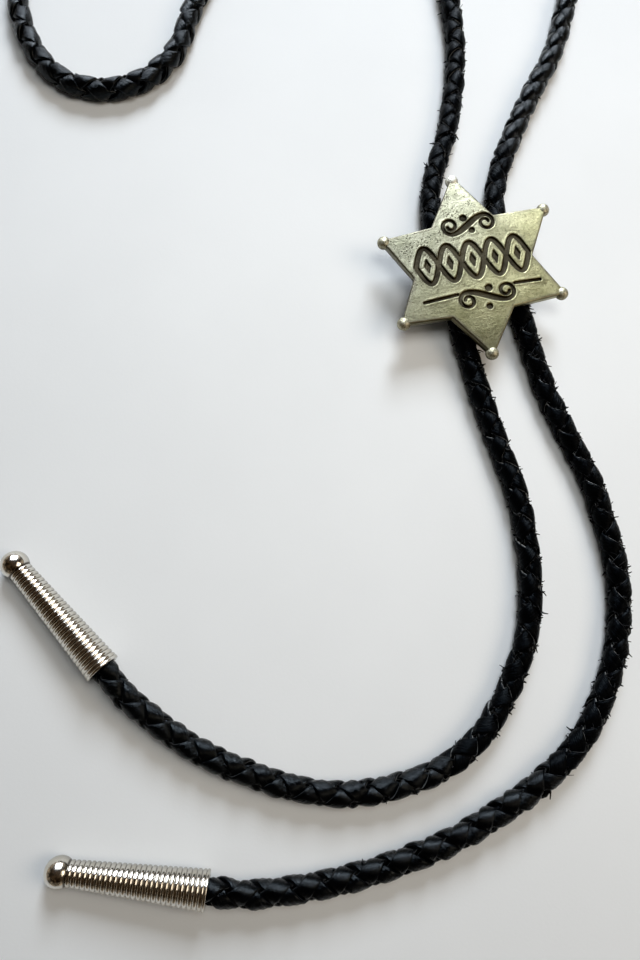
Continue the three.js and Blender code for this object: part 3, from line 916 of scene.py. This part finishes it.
def pewter():
    """Antique pewter: brushed, pitted, darker at its rim and wall, dull by its cuts and dark inside
    them, with painted light, shade and reflection across its face and a painted highlight on its
    top ball.
    """
    paint = Paint("antique_pewter", Metallic=1.0)
    span, noise = paint.span, paint.noise
    product = lambda a, b: paint.math("MULTIPLY", a, b)
    either = lambda a, b: paint.math("MAXIMUM", a, b)
    total = lambda a, b: paint.math("ADD", a, b)
    recess = paint.read("recess")
    halo = paint.read("halo")
    x = paint.axis(paint.place, "X")
    y = paint.axis(paint.place, "Y")
    height = paint.axis(paint.place, "Z")
    across = paint.math("SUBTRACT", y, product(x, 0.8))
    upper_left = span(across, -0.006, 0.02)
    tone = noise(paint.place, 150, 4.0, 0.65)
    brushed = noise(paint.stretch(paint.place, (700, 5200, 700), 0.5), 1.0, 3.0, 0.7)
    sand = noise(paint.place, 2300, 4.0, 0.75)
    # Painted reflection: the colour turns greyer and lighter towards the upper left.
    light = paint.mix(upper_left, *PEWTER_LIGHT)
    dark = paint.mix(upper_left, *PEWTER_DARK)
    base = paint.mix(span(tone, 0.42, 0.68), light, dark)
    ball = paint.read("ball")
    base = paint.mix(span(sand, 0.5, 0.64, 0.0, 0.8), base, paint.times(dark, 0.62))
    # Painted light and shade: the face is painted lighter towards +X and on its upper right arm,
    # darker at the left and bottom, and a little darker towards its top.
    gain = product(span(x, -0.022, 0.018, 0.6, 1.66), span(y, -0.021, -0.0095, 0.5, 1.0))
    gain = product(gain, span(y, 0.0, 0.006, 1.0, 0.78))
    gain = product(gain, span(total(x, y), 0.014, 0.022, 1.0, 1.5))
    ball_wear_and_highlight = paint.mix(span(sand, 0.46, 0.6), BALL_LIGHT, BALL_DARK)
    # Painted highlight: the top ball is painted lighter.
    ball_wear_and_highlight = paint.mix(span(y, 0.012, 0.018), ball_wear_and_highlight, BALL_TOP_HIGHLIGHT)
    base = paint.mix(ball, paint.times(base, gain), ball_wear_and_highlight)
    pits = product(span(paint.cells(paint.place, 2100), 0.4, 0.16),
                   span(noise(paint.place, 420, 3.0), 0.43, 0.56))
    pits = product(pits, span(upper_left, 0.2, 0.9, 0.15, 1.0))
    # Dark patina in the engraving and the pits, and painted shade at the balls' feet.
    grime_and_shade = either(span(recess, 0.3, 0.85), product(pits, 0.8))
    film = product(halo, span(noise(paint.place, 700, 2.0), 0.35, 0.65, 0.1, 0.6))
    # The wall and the face's rim are made darker.
    side = span(height, 0.0076, 0.007, 0.0, 0.7)
    border = product(paint.read("border"),
                     span(noise(paint.place, 260, 3.0), 0.35, 0.6, 0.25, 0.8))
    dull = paint.mix(either(either(film, side), border), base, PEWTER_DULL)
    floor_tone = paint.mix(span(tone, 0.4, 0.65), *GRIME_AND_SHADE)
    paint.shade("Base Color", paint.mix(grime_and_shade, dull, floor_tone))
    rough = total(span(brushed, 0.3, 0.7, 0.33, 0.47), product(grime_and_shade, 0.2))
    paint.shade("Roughness", total(rough, product(ball, 0.1)))
    relief = total(product(brushed, 0.4), product(sand, 0.5))
    relief = paint.math("SUBTRACT", relief, pits)
    dents = paint.bump(noise(paint.place, 300, 3.0, 0.6), 0.00022, 0.6)
    paint.shade("Normal", paint.bump(relief, 0.00009, 0.8, dents))
    return paint


NICKEL = (0.74, 0.71, 0.65), (0.64, 0.6, 0.52)
NICKEL_GROOVE = (0.06, 0.05, 0.04)
STEEL = (0.46, 0.45, 0.43), (0.3, 0.29, 0.27)


def nickel():
    """Bright plated nickel, with painted shade between the ribs and on its underside."""
    paint = Paint("bright_nickel", Metallic=1.0)
    groove_shade = paint.read("groove_shade")
    stain = paint.noise(paint.place, 500, 3.0)
    plate_and_shade = paint.mix(paint.span(stain, 0.35, 0.7), *NICKEL)
    # Painted shade: the colour darkens where the surface faces down.
    facing = paint.axis(paint.node("NewGeometry").outputs["Normal"], "Z")
    plate_and_shade = paint.times(plate_and_shade, paint.span(facing, -0.3, 0.5, 0.4, 1.0))
    paint.shade("Base Color", paint.mix(paint.span(groove_shade, 0.2, 0.8), plate_and_shade, NICKEL_GROOVE))
    paint.shade("Roughness", paint.span(stain, 0.3, 0.7, 0.1, 0.2))
    paint.shade("Normal", paint.bump(paint.noise(paint.place, 900, 2.0), 0.00005, 0.5))
    return paint


def steel():
    """Plain drawn steel sheet."""
    paint = Paint("keeper_steel", Metallic=1.0)
    drawn = paint.noise(paint.stretch(paint.place, (4000, 250, 4000)), 1.0, 3.0)
    spots = paint.noise(paint.place, 260, 3.0)
    paint.shade("Base Color", paint.mix(paint.span(spots, 0.4, 0.7), *STEEL))
    paint.shade("Roughness", paint.span(drawn, 0.3, 0.7, 0.3, 0.5))
    paint.shade("Normal", paint.bump(drawn, 0.00003, 0.6))
    return paint


leather("leather_black", 1.28, 0.1, 0.22).on(cord_braid)
cord_braid.data.materials.append(leather("leather_worn", 1.15, 0.2, 0.4).material)
cord_braid.data.polygons.foreach_set("material_index", matt_faces.astype(np.int32))
fibre().on(cord_fibres)
pewter().on(star_pewter)
nickel().on(tip_left, tip_right)
steel().on(keeper_steel)


# ---------------------------------------------------------------- floor and light

FLOOR_HALF = 2.0
PAPER = (0.83, 0.845, 0.855), (0.86, 0.875, 0.885)


def make_floor():
    """White paper under the part."""
    corners = [(x * FLOOR_HALF, y * FLOOR_HALF, 0) for x, y in ((-1, -1), (1, -1), (1, 1), (-1, 1))]
    floor = make_piece("paper", corners, [np.array([[0, 1, 2, 3]])])
    paint = Paint("paper_white", Roughness=0.85)
    tone = paint.noise(paint.place, 18, 3.0)
    paint.shade("Base Color", paint.mix(paint.span(tone, 0.3, 0.7), *PAPER))
    paint.shade("Normal", paint.bump(paint.noise(paint.place, 1500, 3.0), 0.00004, 0.4))
    paint.on(floor)


def area_light(name, place, target, size, power, colour, spread=180, diffuse=True, glossy=True):
    """A rectangular lamp that faces its target. Without diffuse it only shows in shiny
    surfaces, and without glossy it only lights matt ones."""
    data = bpy.data.lights.new(name, "AREA")
    data.shape = "RECTANGLE"
    data.size, data.size_y = size
    data.energy = power
    data.color = colour
    data.spread = math.radians(spread)
    lamp = bpy.data.objects.new(name, data)
    bpy.context.scene.collection.objects.link(lamp)
    lamp.location = place
    lamp.rotation_euler = (Vector(target) - Vector(place)).to_track_quat("-Z", "Y").to_euler()
    lamp.visible_diffuse = diffuse
    lamp.visible_glossy = glossy


def set_ramp(node, *stops):
    """Give a colour ramp's two stops their places and colours."""
    for element, (position, colour) in zip(node.color_ramp.elements, stops):
        element.position = position
        element.color = (*colour, 1)


def make_world():
    """Weak warm light on matt things. Shiny things see a dim warm room, lighter low down."""
    world = bpy.data.worlds.new("room")
    bpy.context.scene.world = world
    world.use_nodes = True
    tree = world.node_tree
    tree.nodes.clear()
    add = lambda kind: tree.nodes.new("ShaderNode" + kind)
    out, mix, path = add("OutputWorld"), add("MixShader"), add("LightPath")
    soft, room = add("Background"), add("Background")
    soft.inputs["Color"].default_value = (1.0, 0.97, 0.92, 1)
    soft.inputs["Strength"].default_value = 0.055
    place, split, ramp = add("TexCoord"), add("SeparateXYZ"), add("ValToRGB")
    tree.links.new(place.outputs["Generated"], split.inputs[0])
    tree.links.new(split.outputs["Z"], ramp.inputs[0])
    set_ramp(ramp, (0.0, (0.3, 0.29, 0.27)), (0.6, (0.03, 0.023, 0.017)))
    shapes, spots = add("TexNoise"), add("ValToRGB")
    tree.links.new(place.outputs["Generated"], shapes.inputs["Vector"])
    shapes.inputs["Scale"].default_value = 3.5
    set_ramp(spots, (0.42, (0.35, 0.33, 0.3)), (0.62, (2.0, 1.7, 1.4)))
    tree.links.new(shapes.outputs["Fac"], spots.inputs[0])
    blend = add("Mix")
    blend.data_type, blend.blend_type = "RGBA", "MULTIPLY"
    blend.inputs[0].default_value = 1.0
    tree.links.new(ramp.outputs[0], blend.inputs[6])
    tree.links.new(spots.outputs[0], blend.inputs[7])
    tree.links.new(blend.outputs[2], room.inputs["Color"])
    room.inputs["Strength"].default_value = 1.0
    tree.links.new(path.outputs["Is Glossy Ray"], mix.inputs[0])
    tree.links.new(soft.outputs[0], mix.inputs[1])
    tree.links.new(room.outputs[0], mix.inputs[2])
    tree.links.new(mix.outputs[0], out.inputs["Surface"])


make_floor()
make_world()
area_light("window", place=(0.18, 0.58, 0.44), target=(0.0, 0.01, 0.0), size=(0.24, 0.32),
           power=4.9, colour=(0.91, 0.985, 1.065))
area_light("window_gleam", place=(0.0, 0.5, 0.35), target=(-0.06, -0.04, 0.0), size=(0.52, 0.5),
           power=1.9, colour=(0.9, 0.98, 1.1), spread=110, diffuse=False)
area_light("side_light", place=(0.3, -0.13, 0.38), target=(0.0, -0.03, 0.0), size=(0.28, 0.28),
           power=0.72, colour=(1.14, 0.98, 0.79))
area_light("overhead", place=(-0.02, -0.005, 0.28), target=(-0.02, -0.005, 0.0),
           size=(0.12, 0.12), power=0.1, colour=(1.0, 1.0, 0.96), spread=120, glossy=False)

TONE_CURVE = [(0.006, 0.0022), (0.035, 0.031), (0.08, 0.08)]


def deepen_blacks():
    """A camera's tone curve: the darkest tones are a little darker, the rest is as it is."""
    view = bpy.context.scene.view_settings
    view.view_transform = "Standard"
    view.use_curve_mapping = True
    tones = view.curve_mapping.curves[3]  # the curve that all three colours share
    for tone, result in TONE_CURVE:
        tones.points.new(tone, result)
    for point in tones.points:
        point.handle_type = "VECTOR"
    view.curve_mapping.update()


deepen_blacks()
